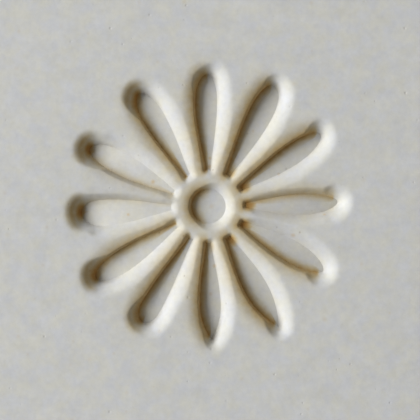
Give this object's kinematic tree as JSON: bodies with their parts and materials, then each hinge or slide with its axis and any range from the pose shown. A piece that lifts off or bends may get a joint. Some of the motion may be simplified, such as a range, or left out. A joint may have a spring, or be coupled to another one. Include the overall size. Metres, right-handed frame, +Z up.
{
  "type": "clay stamp",
  "caption": "Hand stamp for clay: square fired-clay printing block with a sunken daisy, on a cork bed and a grooved beech block, drawn onto a turned beech handle by a long screw.",
  "frame": {"origin": "centre of the handle's flat end, on the surface the stamp stands on", "axes": "+Z up the handle's axis to the printing face, +Y to the top of the daisy as seen on the face, +X to its right"},
  "size_m": [0.044, 0.044, 0.083],
  "materials": {
    "fired_clay": "matte, unglazed, fine iron specks",
    "cork": "fine agglomerated cork sheet",
    "beech_block": "sanded and oiled beech",
    "beech_handle": "turned and oiled beech",
    "beech_plug": "end grain, oiled",
    "brass": "satin, lightly tarnished",
    "steel": "zinc-plated"
  },
  "bodies": {
    "root": {"clay_die": "fired_clay", "die_insert": "brass", "cork_bed": "cork", "mount_block": "beech_block", "locating_pins": "steel", "handle": "beech_handle", "ferrule": "brass", "long_screw": "steel", "washer": "steel", "end_plug": "beech_plug"}
  },
  "joints": []
}
